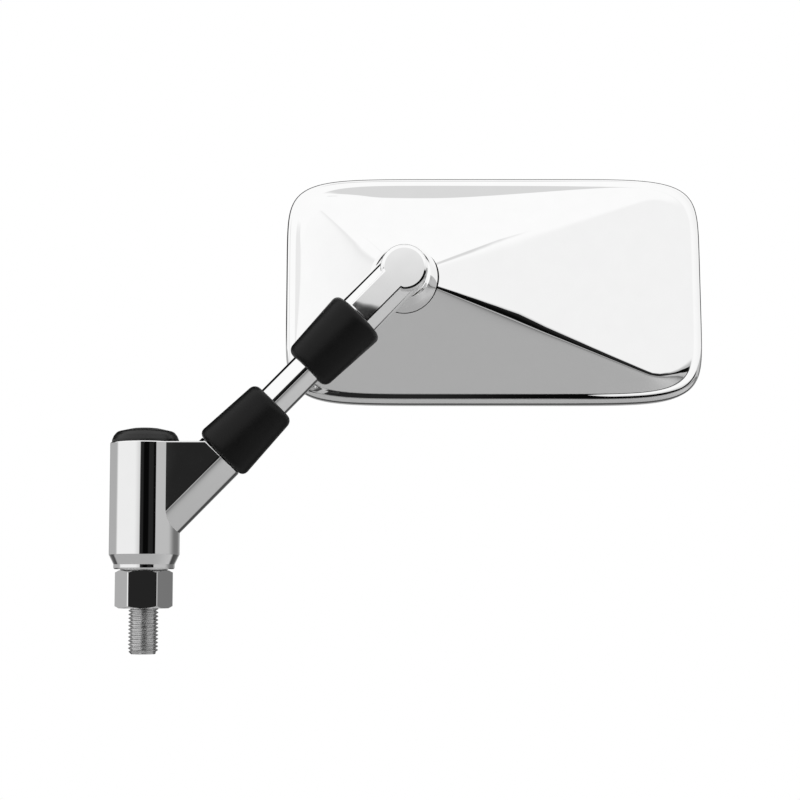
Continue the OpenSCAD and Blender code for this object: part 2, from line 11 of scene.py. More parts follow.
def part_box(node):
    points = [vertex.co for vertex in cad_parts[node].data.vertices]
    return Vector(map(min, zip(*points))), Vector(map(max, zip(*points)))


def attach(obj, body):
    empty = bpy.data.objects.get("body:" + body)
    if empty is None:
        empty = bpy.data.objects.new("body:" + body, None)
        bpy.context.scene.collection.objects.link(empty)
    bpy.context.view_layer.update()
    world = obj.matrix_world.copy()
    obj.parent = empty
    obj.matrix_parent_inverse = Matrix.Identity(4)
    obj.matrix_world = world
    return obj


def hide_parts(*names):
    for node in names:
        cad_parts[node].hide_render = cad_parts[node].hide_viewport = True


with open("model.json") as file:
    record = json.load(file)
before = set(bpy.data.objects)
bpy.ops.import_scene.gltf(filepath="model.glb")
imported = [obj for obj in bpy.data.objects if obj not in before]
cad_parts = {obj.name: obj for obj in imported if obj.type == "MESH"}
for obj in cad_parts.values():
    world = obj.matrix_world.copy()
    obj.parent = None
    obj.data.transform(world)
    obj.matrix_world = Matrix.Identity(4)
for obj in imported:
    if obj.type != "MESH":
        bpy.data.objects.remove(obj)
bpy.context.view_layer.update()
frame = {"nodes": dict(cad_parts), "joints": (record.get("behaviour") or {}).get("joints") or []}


# Studio
# The mirror stands in a white dome over a round floor, which looks pale to the camera and carries painted
# shade where the chrome reflects it. A dark gap at eye level, where the camera stands, gives the chrome its
# black, with a white wall left of it and grey ones beyond. The dome's rear is black around a pale middle.
MM = 0.001
AIM = Vector((86.3, 0, 70.4)) * MM
CAMERA_RANGE = 650 * MM
CAMERA_DROP = math.radians(5.5)
VIEW_WIDTH = 272 * MM
SENSOR_WIDTH = 36

camera = bpy.data.objects.new("camera", bpy.data.cameras.new("camera"))
camera.data.sensor_width = SENSOR_WIDTH
camera.data.lens = SENSOR_WIDTH * CAMERA_RANGE / VIEW_WIDTH
camera.data.clip_start = 20 * MM
away = Vector((0, -math.cos(CAMERA_DROP), -math.sin(CAMERA_DROP)))
camera.location = AIM + CAMERA_RANGE * away
camera.rotation_euler = (-away).to_track_quat("-Z", "Y").to_euler()
bpy.context.scene.collection.objects.link(camera)
bpy.context.scene.camera = camera
bpy.context.scene.view_settings.view_transform = "Standard"


class Dial:
    """One shader value. Arithmetic on it adds Math nodes to the tree that it belongs to."""

    def __init__(self, paint, socket):
        self.paint = paint
        self.socket = socket

    def math(self, operation, *others):
        inputs = dict(enumerate((self,) + others))
        return self.paint.add("ShaderNodeMath", {"operation": operation}, inputs)

    def __add__(self, other):
        return self.math("ADD", other)

    def __mul__(self, other):
        return self.math("MULTIPLY", other)

    def __sub__(self, other):
        return self.math("SUBTRACT", other)

    def __rsub__(self, other):
        return self * -1 + other

    __radd__ = __add__
    __rmul__ = __mul__

    def step(self, low, high):
        """0 below low, 1 above high and smooth between them."""
        settings = {"interpolation_type": "SMOOTHSTEP"}
        return self.paint.add("ShaderNodeMapRange", settings, {0: self, 1: low, 2: high})

    def within(self, low, full, last, high):
        """0 below low and above high, and 1 from full to last."""
        return self.step(low, full) * (1 - self.step(last, high))

    def toward(self, target, share):
        """A share of the way from this value to another."""
        return self + (target - self) * share


class Paint:
    """The node tree of a material or the world."""

    def __init__(self, owner):
        owner.use_nodes = True
        self.tree = owner.node_tree
        self.tree.nodes.clear()

    def add(self, kind, settings, inputs, output=0):
        node = self.tree.nodes.new(kind)
        for name, value in settings.items():
            setattr(node, name, value)
        for name, value in inputs.items():
            if isinstance(value, Dial):
                self.tree.links.new(value.socket, node.inputs[name])
            else:
                node.inputs[name].default_value = value
        return Dial(self, node.outputs[output]) if node.outputs else None

    def mix(self, share, low, high):
        """A colour between two colours."""
        settings = {"data_type": "RGBA"}
        return self.add("ShaderNodeMix", settings, {0: share, 6: low, 7: high}, output=2)


def grey(level):
    return (level, level, level, 1)


# Levels of the studio as they look in the picture, from 0 black to 1 white
DOME = 1.0
RIGHT_OF_DOME = 0.965
BAND_IN_DOME = 0.86
LEFT_IN_DOME = 0.93
REAR_DOME = 0.0
OVER_GAP, OVER_GAP_TOP = 0.84, 11.5
LEFT_WALL, END_OF_LEFT_WALL, REAR_LEFT_WALL = 0.94, 0.84, 0.68
RIGHT_WALL, REAR_RIGHT_WALL = 0.74, 0.45
GAP = 0.03
STREAK_IN_GAP = 0.14
BEHIND = 0.62
BELOW = 0.7
# Bearings and heights in degrees, as seen from the mirror: 0 is the camera's side, the right counts
# up. Two numbers bound a soft edge, and four bound a patch between two soft edges.
SHARP, SOFT = 0.07, 1
GAP_LEFT, GAP_RIGHT = -7.6, 43
GAP_LOW, GAP_HIGH = -7.5, 8.28
GAP_EDGES = (GAP_LEFT - SOFT, GAP_LEFT + SOFT, GAP_RIGHT - SOFT, GAP_RIGHT + SOFT)
STREAKS = ((-9, -7, 0.5, 5), (17, 22, 33, 38))
LOW_END_OF_GAP, LOW_END_HEIGHTS = (30, 34), (-2, -1, 4.8, 5.8)
LEFT_WALL_DIMS = (-28, GAP_LEFT)
LEFT_WALL_TURNS, RIGHT_WALL_TURNS = (-101, -89), (90, 125)
DOME_TURNS, DOME_CLEARS = (8, 26), (30, 60)
BAND_BEARINGS, BAND_HEIGHTS = (-19, -12, 13, 16), (49, 51, 65, 68)
PATCH_BEARINGS, PATCH_TOP = (-60, -54, -36, -32), (20, 26)
# Shares of the way to the rear
REAR_OF_DOME = (0.37, 0.46)
BEHIND_IN_DOME, BEHIND_IN_WALL = (0.84, 0.94), (0.8, 0.96)

world = bpy.data.worlds.new("studio")
bpy.context.scene.world = world
paint = Paint(world)
ray = paint.add("ShaderNodeTexCoord", {}, {}, output="Generated")
east, north, up = [paint.add("ShaderNodeSeparateXYZ", {}, {0: ray}, output=axis) for axis in "XYZ"]
height = up.math("ARCSINE") * math.degrees(1)
bearing = east.math("ARCTAN2", north * -1) * math.degrees(1)
wall = LEFT_WALL - (LEFT_WALL - END_OF_LEFT_WALL) * bearing.step(*LEFT_WALL_DIMS)
wall = wall.toward(GAP, bearing.step(GAP_LEFT - 2 * SOFT, GAP_LEFT + SOFT))
wall = wall.toward(RIGHT_WALL, bearing.step(GAP_RIGHT - SOFT, GAP_RIGHT + SOFT))
wall = wall.toward(REAR_RIGHT_WALL, bearing.step(*RIGHT_WALL_TURNS))
wall = wall.toward(REAR_LEFT_WALL, 1 - bearing.step(*LEFT_WALL_TURNS))
for streak in STREAKS:
    wall = wall + (STREAK_IN_GAP - GAP) * bearing.within(*streak)
low_end = bearing.within(*LOW_END_OF_GAP, *RIGHT_WALL_TURNS) * (1 - height.within(*LOW_END_HEIGHTS))
wall = wall.toward(RIGHT_WALL, low_end)
wall = wall.toward(BEHIND, north.step(*BEHIND_IN_WALL))
dome = DOME - (DOME - RIGHT_OF_DOME) * bearing.step(*DOME_TURNS) * (1 - height.step(*DOME_CLEARS))
dome = dome - (DOME - BAND_IN_DOME) * bearing.within(*BAND_BEARINGS) * height.within(*BAND_HEIGHTS)
dome = dome - (DOME - LEFT_IN_DOME) * bearing.within(*PATCH_BEARINGS) * (1 - height.step(*PATCH_TOP))
dome = dome - (DOME - OVER_GAP) * bearing.within(*GAP_EDGES) * (1 - height.step(GAP_HIGH, OVER_GAP_TOP))
dome = dome - (DOME - REAR_DOME) * north.step(*REAR_OF_DOME)
dome = dome.toward(BEHIND, north.step(*BEHIND_IN_DOME))
level = wall.toward(dome, height.step(GAP_HIGH - SHARP, GAP_HIGH + SHARP))
level = level.toward(BELOW, 1 - height.step(GAP_LOW - SOFT, GAP_LOW + SOFT))
seen = paint.add("ShaderNodeLightPath", {}, {}, output="Is Camera Ray")
level = level.toward(1, seen)
# The display's curve turns the level into light
light = ((level + 0.055) * (1 / 1.055)).math("POWER", 2.4)
sky = paint.add("ShaderNodeBackground", {}, {"Color": grey(1), "Strength": light})
paint.add("ShaderNodeOutputWorld", {}, {"Surface": sky})

FLOOR_DROP = 300 * MM
FLOOR_RADIUS = 2000 * MM
# The floor's colour is painted shade for the chrome to reflect: grey on the left, lighter on the right, near
# black at the rear and darker far off. Camera rays see it near white.
PAINTED_SHADE_LEFT_OF_FLOOR, PAINTED_SHADE_RIGHT_OF_FLOOR, PAINTED_SHADE_REAR_OF_FLOOR, PAINTED_SHADE_FAR_ON_FLOOR = 0.56, 0.76, 0.08, 0.22
FLOOR_IN_PICTURE = 0.9
SHINE_IN_PICTURE = 0.8
# Metres from the middle between which one shade turns into the next
FLOOR_TURNS_RIGHT, FLOOR_TURNS_REAR, FLOOR_TURNS_FAR = (0.2, 0.6), (0.28, 0.45), (0.6, 2.0)

bm = bmesh.new()
bmesh.ops.create_circle(bm, cap_ends=True, radius=FLOOR_RADIUS, segments=96)
bmesh.ops.translate(bm, vec=(AIM.x, 0, -FLOOR_DROP), verts=bm.verts)
mesh = bpy.data.meshes.new("floor")
bm.to_mesh(mesh)
bm.free()
floor = bpy.data.objects.new("floor", mesh)
bpy.context.scene.collection.objects.link(floor)
material = bpy.data.materials.new("pale_floor_with_painted_shade")
paint = Paint(material)
seen = paint.add("ShaderNodeLightPath", {}, {}, output="Is Camera Ray")
place = paint.add("ShaderNodeTexCoord", {}, {}, output="Object")
reach = paint.add("ShaderNodeVectorMath", {"operation": "LENGTH"}, {0: place}, output="Value")
to_the_right, to_the_rear = [
    paint.add("ShaderNodeSeparateXYZ", {}, {0: place}, output=axis) for axis in "XY"
]
near = paint.mix(to_the_right.step(*FLOOR_TURNS_RIGHT), grey(PAINTED_SHADE_LEFT_OF_FLOOR), grey(PAINTED_SHADE_RIGHT_OF_FLOOR))
near = paint.mix(to_the_rear.step(*FLOOR_TURNS_REAR), near, grey(PAINTED_SHADE_REAR_OF_FLOOR))
shade = paint.mix(reach.step(*FLOOR_TURNS_FAR), near, grey(PAINTED_SHADE_FAR_ON_FLOOR))
shade = paint.mix(seen, shade, grey(FLOOR_IN_PICTURE))
matt = paint.add("ShaderNodeBsdfDiffuse", {}, {"Color": shade})
shine = paint.add("ShaderNodeEmission", {}, {"Color": grey(1), "Strength": 1.0})
lit = paint.add("ShaderNodeMixShader", {}, {0: seen * SHINE_IN_PICTURE, 1: matt, 2: shine})
paint.add("ShaderNodeOutputMaterial", {}, {"Surface": lit})
mesh.materials.append(material)


# Stem
# The mounting stud, its collar, the shaft that the barrel turns on and the top thread are turned
# from one steel bar and zinc plated. Its rolled mounting thread is the only part that shows.
joints = {joint["name"]: joint for joint in frame["joints"]}


def stand_at(point, along, up):
    """The frame of a piece: its origin, its own Z axis and its own Y axis."""
    z = Vector(along).normalized()
    y = Vector(up).normalized()
    x = y.cross(z)
    turn = Matrix((x, y, z)).transposed().to_4x4()
    return Matrix.Translation(Vector(point)) @ turn @ Matrix.Scale(MM, 4)


UPRIGHT = Matrix.Scale(MM, 4)


def fillet(before, corner, after, radius, steps=6):
    """Points of the arc that rounds a corner of a flat outline."""
    a = (Vector(before) - Vector(corner)).normalized()
    b = (Vector(after) - Vector(corner)).normalized()
    half = a.angle(b) / 2
    centre = Vector(corner) + (a + b).normalized() * radius / math.sin(half)
    start = Vector(corner) + a * radius / math.tan(half) - centre
    end = Vector(corner) + b * radius / math.tan(half) - centre
    turn = start.angle_signed(end)
    return [centre + Matrix.Rotation(-turn * i / steps, 2) @ start for i in range(steps + 1)]


def outline(*points):
    """A profile of (radius, height) points; a third number rounds that corner by a radius."""
    flat = [Vector(p[:2]) for p in points]
    path = []
    for i, p in enumerate(points):
        if len(p) == 3:
            path += fillet(flat[i - 1], flat[i], flat[(i + 1) % len(flat)], p[2])
        else:
            path.append(flat[i])
    return path


def turned(profile, closed=False, around=128):
    """A bmesh turned on a lathe about Z."""
    bm = bmesh.new()
    verts = [bm.verts.new((r, 0, z)) for r, z in profile]
    edges = [bm.edges.new(pair) for pair in zip(verts, verts[1:])]
    if closed:
        edges.append(bm.edges.new((verts[-1], verts[0])))
    bmesh.ops.spin(
        bm, geom=verts + edges, cent=(0, 0, 0), axis=(0, 0, 1), dvec=(0, 0, 0),
        angle=math.tau, steps=around, use_merge=True, use_duplicate=False,
    )
    bmesh.ops.remove_doubles(bm, verts=bm.verts, dist=1e-4)
    bmesh.ops.recalc_face_normals(bm, faces=bm.faces)
    return bm


def settle(name, bm, place, finish, body, stands_for, crease=35, even=False):
    """Sets a finished bmesh in its place as a piece that rides on a body.

    An even piece has its large faces shaded flat up to their rounded edges.
    """
    bmesh.ops.transform(bm, matrix=place, verts=bm.verts)
    for face in bm.faces:
        face.smooth = True
    for edge in bm.edges:
        edge.smooth = len(edge.link_faces) == 2 and edge.calc_face_angle(0) < math.radians(crease)
    mesh = bpy.data.meshes.new(name)
    bm.to_mesh(mesh)
    bm.free()
    mesh.materials.append(finish)
    piece = bpy.data.objects.new(name, mesh)
    bpy.context.scene.collection.objects.link(piece)
    if even:
        piece.modifiers.new("even", "WEIGHTED_NORMAL").keep_sharp = True
    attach(piece, body)
    if stands_for:
        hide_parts(*stands_for)
    return piece


def zinc_plate():
    """Dull zinc: grey with cloudy patches and a fine crystal grain."""
    material = bpy.data.materials.new("zinc_plate")
    paint = Paint(material)
    place = paint.add("ShaderNodeTexCoord", {}, {}, output="Object")
    cloud = paint.add("ShaderNodeTexNoise", {}, {"Vector": place, "Scale": 420.0, "Detail": 4.0})
    grain = paint.add("ShaderNodeTexNoise", {}, {"Vector": place, "Scale": 5200.0, "Detail": 2.0})
    bump = paint.add("ShaderNodeBump", {}, {"Height": grain, "Strength": 0.15, "Distance": 0.00004})
    metal = paint.add("ShaderNodeBsdfPrincipled", {}, {
        "Base Color": paint.mix(cloud, grey(0.56), grey(0.86)),
        "Metallic": 1.0,
        "Roughness": cloud * 0.16 + 0.15,
        "Normal": bump,
    })
    paint.add("ShaderNodeOutputMaterial", {}, {"Surface": metal})
    return material


STUD_R = 5.0
STUD_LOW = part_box("pivot_stem")[0].z / MM
STEM_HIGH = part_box("pivot_stem")[1].z / MM
PITCH = 1.25
THREAD_DEPTH = 0.72
ROOT_R = STUD_R - THREAD_DEPTH
CREST = 0.16 * PITCH
FLANK_R = 4.59
THREAD_TOP = 0.25
THREAD_STEPS = 96
END_CHAMFER = 1.0
COLLAR_R, COLLAR_LOW, COLLAR_HIGH, COLLAR_EDGE = 8.0, 12.7, 16.7, 0.3
SHAFT_R, SHAFT_TOP = 5.4, 43.9
TOP_THREAD_R, TOP_CHAMFER = 4.0, 0.8

# The thread is a zigzag swept up a helix, and cut off level at both ends
zigzag = []
for i in range(round((THREAD_TOP - STUD_LOW) / PITCH) + 3):
    z = STUD_LOW + (i - 1.5) * PITCH
    top = z + 0.5 * PITCH
    zigzag += [(ROOT_R, z), (ROOT_R, z + CREST), (STUD_R, top), (STUD_R, top + CREST)]
bm = bmesh.new()
verts = [bm.verts.new((r, 0, z)) for r, z in zigzag]
edges = [bm.edges.new(pair) for pair in zip(verts, verts[1:])]
bmesh.ops.spin(
    bm, geom=verts + edges, cent=(0, 0, 0), axis=(0, 0, 1), dvec=(0, 0, PITCH / THREAD_STEPS),
    angle=math.tau, steps=THREAD_STEPS, use_merge=False, use_duplicate=False,
)
bmesh.ops.remove_doubles(bm, verts=bm.verts, dist=1e-3)
for z, up in ((STUD_LOW, -1), (THREAD_TOP, 1)):
    cut = bmesh.ops.bisect_plane(
        bm, geom=bm.verts[:] + bm.edges[:] + bm.faces[:], dist=1e-5,
        plane_co=(0, 0, z), plane_no=(0, 0, up), clear_outer=True,
    )
    rim = [part for part in cut["geom_cut"] if isinstance(part, bmesh.types.BMEdge)]
    bmesh.ops.holes_fill(bm, edges=rim, sides=0)
for v in bm.verts:
    r = math.hypot(v.co.x, v.co.y)
    limit = STUD_R - END_CHAMFER + (v.co.z - STUD_LOW)
    if r > limit:
        v.co.x *= limit / r
        v.co.y *= limit / r
bmesh.ops.recalc_face_normals(bm, faces=bm.faces)
upper = turned(outline(
    (0, THREAD_TOP), (FLANK_R, THREAD_TOP), (FLANK_R, COLLAR_LOW), (COLLAR_R, COLLAR_LOW, COLLAR_EDGE),
    (COLLAR_R, COLLAR_HIGH, COLLAR_EDGE), (SHAFT_R, COLLAR_HIGH), (SHAFT_R, SHAFT_TOP),
    (TOP_THREAD_R, SHAFT_TOP), (TOP_THREAD_R, STEM_HIGH - TOP_CHAMFER),
    (TOP_THREAD_R - TOP_CHAMFER, STEM_HIGH), (0, STEM_HIGH),
), around=64)
loose = bpy.data.meshes.new("upper_stem")
upper.to_mesh(loose)
upper.free()
bm.from_mesh(loose)
bpy.data.meshes.remove(loose)
zinc = zinc_plate()
stem = settle("threaded_stem", bm, UPRIGHT, zinc, "stem", ["pivot_stem"])


# Base fittings
# A chromed hexagon nut locks the stud. Under the cap a self-locking nut and two disc springs hold
# the barrel down on its nylon washer.
def chrome_plate():
    """Bright chrome over nickel: clear reflections, faintly rippled, with a thin haze of polish."""
    material = bpy.data.materials.new("chrome_plate")
    paint = Paint(material)
    place = paint.add("ShaderNodeTexCoord", {}, {}, output="Object")
    ripple = paint.add("ShaderNodeTexNoise", {}, {"Vector": place, "Scale": 45.0, "Detail": 2.0})
    haze = paint.add("ShaderNodeTexNoise", {}, {"Vector": place, "Scale": 160.0, "Detail": 6.0})
    bump = paint.add("ShaderNodeBump", {}, {"Height": ripple, "Strength": 0.2, "Distance": 0.0002})
    metal = paint.add("ShaderNodeBsdfPrincipled", {}, {
        "Base Color": paint.mix(haze, grey(0.95), grey(0.98)),
        "Metallic": 1.0,
        "Roughness": haze.step(0.35, 0.75) * 0.02 + 0.012,
        "Normal": bump,
    })
    paint.add("ShaderNodeOutputMaterial", {}, {"Surface": metal})
    return material


def plain_steel():
    """Bare steel of washers and springs, with a fine rolled grain."""
    material = bpy.data.materials.new("plain_steel")
    paint = Paint(material)
    place = paint.add("ShaderNodeTexCoord", {}, {}, output="Object")
    grain = paint.add("ShaderNodeTexNoise", {}, {"Vector": place, "Scale": 900.0, "Detail": 5.0})
    metal = paint.add("ShaderNodeBsdfPrincipled", {}, {
        "Base Color": paint.mix(grain, (0.36, 0.36, 0.37, 1), (0.56, 0.56, 0.56, 1)),
        "Metallic": 1.0,
        "Roughness": grain * 0.25 + 0.22,
    })
    paint.add("ShaderNodeOutputMaterial", {}, {"Surface": metal})
    return material


def natural_nylon():
    """Uncoloured nylon: a milky, waxy white."""
    material = bpy.data.materials.new("natural_nylon")
    paint = Paint(material)
    place = paint.add("ShaderNodeTexCoord", {}, {}, output="Object")
    cloud = paint.add("ShaderNodeTexNoise", {}, {"Vector": place, "Scale": 300.0, "Detail": 3.0})
    body = paint.add("ShaderNodeBsdfPrincipled", {}, {
        "Base Color": paint.mix(cloud, (0.74, 0.72, 0.64, 1), (0.83, 0.81, 0.74, 1)),
        "Roughness": cloud * 0.15 + 0.4,
    })
    paint.add("ShaderNodeOutputMaterial", {}, {"Surface": body})
    return material


def dress(node, finish):
    """Gives a CAD node its finish."""
    mesh = frame["nodes"][node].data
    mesh.materials.clear()
    mesh.materials.append(finish)


def combined(base, *steps):
    """A bmesh with others joined to it or cut from it, by exact booleans."""
    objects = []
    for bm in [base] + [part for part, operation in steps]:
        mesh = bpy.data.meshes.new("blank")
        bm.to_mesh(mesh)
        bm.free()
        blank = bpy.data.objects.new("blank", mesh)
        bpy.context.scene.collection.objects.link(blank)
        objects.append(blank)
    for blank, (part, operation) in zip(objects[1:], steps):
        boolean = objects[0].modifiers.new(operation, "BOOLEAN")
        boolean.operation = operation
        boolean.solver = "EXACT"
        boolean.object = blank
    shaped = objects[0].evaluated_get(bpy.context.evaluated_depsgraph_get())
    result = bmesh.new()
    result.from_mesh(shaped.data)
    for blank in objects:
        mesh = blank.data
        bpy.data.objects.remove(blank)
        bpy.data.meshes.remove(mesh)
    return result


chrome = chrome_plate()
steel = plain_steel()
nylon = natural_nylon()
NUT_AF = 17
NUT_H = 12.7
NUT_TURN = math.radians(34)
NUT_EDGE = 0.36
NUT_CHAMFER = 0.8
NUT_RIM = 0.15
NUT_BORE_R = 4.65
NUT_SINK_R, NUT_SINK_DEPTH = 5.34, 0.7
FACE_R = NUT_AF / 2 - 0.1
CORNER_R = NUT_AF / math.sqrt(3)

hexagon = bmesh.new()
bmesh.ops.create_circle(hexagon, cap_ends=True, radius=CORNER_R, segments=6)
bmesh.ops.rotate(hexagon, cent=(0, 0, 0), matrix=Matrix.Rotation(NUT_TURN, 3, "Z"), verts=hexagon.verts)
raised = bmesh.ops.extrude_face_region(hexagon, geom=hexagon.faces[:])["geom"]
raised = [part for part in raised if isinstance(part, bmesh.types.BMVert)]
bmesh.ops.translate(hexagon, vec=(0, 0, NUT_H), verts=raised)
corners = [edge for edge in hexagon.edges if edge.calc_length() > NUT_H - 0.1]
bmesh.ops.bevel(
    hexagon, geom=corners, offset=NUT_EDGE, offset_type="OFFSET", affect="EDGES", segments=3,
    profile=0.5, material=-1,
)
bmesh.ops.recalc_face_normals(hexagon, faces=hexagon.faces)
chamfers = turned(outline(
    (0, 0), (FACE_R, 0, NUT_RIM), (CORNER_R, NUT_CHAMFER), (CORNER_R, NUT_H - NUT_CHAMFER),
    (FACE_R, NUT_H, NUT_RIM), (0, NUT_H),
))
nut_bore = turned(outline(
    (0, -1), (NUT_SINK_R, -1), (NUT_SINK_R, 0), (NUT_BORE_R, NUT_SINK_DEPTH), (NUT_BORE_R, NUT_H + 1),
    (0, NUT_H + 1),
), around=96)
bm = combined(hexagon, (chamfers, "INTERSECT"), (nut_bore, "DIFFERENCE"))
nut = settle("hexagon_lock_nut", bm, UPRIGHT, chrome, "stem", ["lock_nut"], crease=28, even=True)
dress("thrust_washer", nylon)
dress("friction_washer", steel)
dress("disc_springs", steel)
dress("top_nut", steel)
dress("top_nut_insert", nylon)


# Base casting
# Barrel, arm socket and the web between them are one zinc casting, ground, polished and chromed.
# The web is as thick as the socket, so its flat faces run into the socket's round without a line.
BARREL_R, NECK_R = 11.85, 10.25
BARREL_LOW, BARREL_TOP = 13.1, 55.8
NECK_TOP = BARREL_LOW + 1.6
TAPER_TOP = BARREL_LOW + 4.9
SOCKET_R = 8.7
SOCKET_LEN = 36.4
CASTING_EDGE = 0.4
WEB_W = 40
WEB_FROM, STUB_FROM = -5, 18
TUCK = 0.02
COLLAR_ROOM_R, COLLAR_ROOM_TOP = 8.2, 17.75
SHAFT_BORE_R = 5.45
POCKET_R, POCKET_FLOOR = 9.25, 42.8
ROD_THREAD_R, ROD_THREAD_LOW = 5.05, 20.5
twist = joints["socket_twist"]
ARM = stand_at(twist["pos_m"], twist["axis"], (0, 1, 0))
ARM_MM = UPRIGHT.inverted() @ ARM

barrel = turned(outline(
    (0, BARREL_LOW), (NECK_R, BARREL_LOW, 0.5), (NECK_R, NECK_TOP, 0.2), (BARREL_R, TAPER_TOP, 0.6),
    (BARREL_R, BARREL_TOP, CASTING_EDGE), (0, BARREL_TOP),
))
web = bmesh.new()
rim = bmesh.ops.create_circle(web, cap_ends=True, radius=SOCKET_R, segments=128)["verts"]
bmesh.ops.translate(web, vec=(-WEB_W, 0, 0), verts=[v for v in rim if v.co.x < -0.01])
bmesh.ops.translate(web, vec=(0, 0, WEB_FROM), verts=web.verts)
pulled = bmesh.ops.extrude_face_region(web, geom=web.faces[:])["geom"]
pulled = [part for part in pulled if isinstance(part, bmesh.types.BMVert)]
bmesh.ops.translate(web, vec=(0, 0, SOCKET_LEN - WEB_FROM), verts=pulled)
bmesh.ops.transform(web, matrix=ARM_MM, verts=web.verts)
for place, facing in (((0, 0, BARREL_TOP), (0, 0, 1)), ((0, 0, 0), (-1, 0, 0))):
    bmesh.ops.bisect_plane(
        web, geom=web.verts[:] + web.edges[:] + web.faces[:], dist=1e-4,
        plane_co=place, plane_no=facing, clear_outer=True,
    )
    bmesh.ops.holes_fill(web, edges=[e for e in web.edges if e.is_boundary], sides=0)
bmesh.ops.recalc_face_normals(web, faces=web.faces)
rims = [edge for edge in web.edges if edge.calc_face_angle(0) > math.radians(35)]
bmesh.ops.bevel(
    web, geom=rims, offset=CASTING_EDGE, offset_type="OFFSET", affect="EDGES", segments=3,
    profile=0.5, material=-1,
)
# The socket's round is tucked in by a hair, so that it shares no face with the web
stub_r = SOCKET_R - TUCK
stub_end = SOCKET_LEN - TUCK
stub = turned(outline(
    (0, STUB_FROM), (stub_r, STUB_FROM), (stub_r, stub_end, CASTING_EDGE), (0, stub_end),
))
bmesh.ops.transform(stub, matrix=ARM_MM, verts=stub.verts)
bores = turned(outline(
    (0, 10), (COLLAR_ROOM_R, 10), (COLLAR_ROOM_R, COLLAR_ROOM_TOP), (SHAFT_BORE_R, COLLAR_ROOM_TOP),
    (SHAFT_BORE_R, POCKET_FLOOR), (POCKET_R, POCKET_FLOOR), (POCKET_R, 60), (0, 60),
), around=96)
thread_hole = turned(outline(
    (0, ROD_THREAD_LOW), (ROD_THREAD_R, ROD_THREAD_LOW), (ROD_THREAD_R, 40), (0, 40),
), around=64)
bmesh.ops.transform(thread_hole, matrix=ARM_MM, verts=thread_hole.verts)
bm = combined(
    barrel, (web, "UNION"), (stub, "UNION"), (bores, "DIFFERENCE"), (thread_hole, "DIFFERENCE"),
)
casting = settle(
    "chromed_base_casting", bm, UPRIGHT, chrome, "base", ["base_casting"], crease=30, even=True,
)


# Cap
# A domed plug of black plastic. Its skirt is pressed into the barrel's top, its rim rests on the
# barrel's edge, and it is hollow over the stem's nut.
def satin_plastic():
    """Moulded black plastic, satin, with a very fine spark-eroded grain."""
    material = bpy.data.materials.new("satin_plastic")
    paint = Paint(material)
    place = paint.add("ShaderNodeTexCoord", {}, {}, output="Object")
    grain = paint.add("ShaderNodeTexNoise", {}, {"Vector": place, "Scale": 3800.0, "Detail": 2.0})
    bump = paint.add("ShaderNodeBump", {}, {"Height": grain, "Strength": 0.25, "Distance": 0.00005})
    body = paint.add("ShaderNodeBsdfPrincipled", {}, {
        "Base Color": grey(0.004),
        "Roughness": grain * 0.1 + 0.28,
        "Normal": bump,
    })
    paint.add("ShaderNodeOutputMaterial", {}, {"Surface": body})
    return material


CAP_LOW, CAP_TOP = [corner.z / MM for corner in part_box("top_cap")]
SKIRT_IN_R, SKIRT_R = 8.6, 9.23
CAP_R = 11.35

bm = turned(outline(
    (SKIRT_IN_R, CAP_LOW), (SKIRT_R, CAP_LOW), (SKIRT_R, BARREL_TOP), (CAP_R, BARREL_TOP, 0.15),
    (CAP_R - 0.05, BARREL_TOP + 0.9, 0.6), (10.7, BARREL_TOP + 2.3, 0.5), (9.6, BARREL_TOP + 3.7, 2.2),
    (4.5, CAP_TOP - 0.35, 6), (0, CAP_TOP), (0, CAP_TOP - 1.4), (6.6, CAP_TOP - 2),
    (SKIRT_IN_R, CAP_TOP - 3.2),
), closed=True)
cap = settle("domed_cap", bm, UPRIGHT, satin_plastic(), "base", ["top_cap"], crease=50)


# Arm
# A ground and chromed rod joins casting and knuckle, and shows bare between the boots. Jam nuts
# lock its threads at both ends.
dress("lower_jam_nut", zinc)
dress("upper_jam_nut", zinc)
dress("arm_rod", chrome)


# Boots
# Two tapered sleeves of black rubber, pushed along the rod over the jam nuts. They are alike, and
# their wide ends close against the socket and the knuckle.
def black_rubber():
    """Moulded rubber: matt black with a faint bloom and mould grain."""
    material = bpy.data.materials.new("black_rubber")
    paint = Paint(material)
    place = paint.add("ShaderNodeTexCoord", {}, {}, output="Object")
    bloom = paint.add("ShaderNodeTexNoise", {}, {"Vector": place, "Scale": 130.0, "Detail": 5.0})
    grain = paint.add("ShaderNodeTexNoise", {}, {"Vector": place, "Scale": 2600.0, "Detail": 3.0})
    bump = paint.add("ShaderNodeBump", {}, {"Height": grain, "Strength": 0.35, "Distance": 0.0001})
    body = paint.add("ShaderNodeBsdfPrincipled", {}, {
        "Base Color": paint.mix(bloom, grey(0.001), grey(0.004)),
        "Roughness": bloom * 0.12 + 0.34,
        "Specular IOR Level": 0.22,
        "Normal": bump,
    })
    paint.add("ShaderNodeOutputMaterial", {}, {"Surface": body})
    return material


rubber = black_rubber()
BOOT_LEN = 25.5
BARE_ROD = 15.7
LOWER_BOOT_AT = 36.45
UPPER_BOOT_AT = LOWER_BOOT_AT + 2 * BOOT_LEN + BARE_ROD
WIDE_R, THIN_R = 10.55, 8.95
WIDE_ROUND, THIN_ROUND = 2.24, 2.7
ROD_ROOM_R = 5.77
NUT_ROOM_R, NUT_ROOM_LEN = 8.28, 9.2

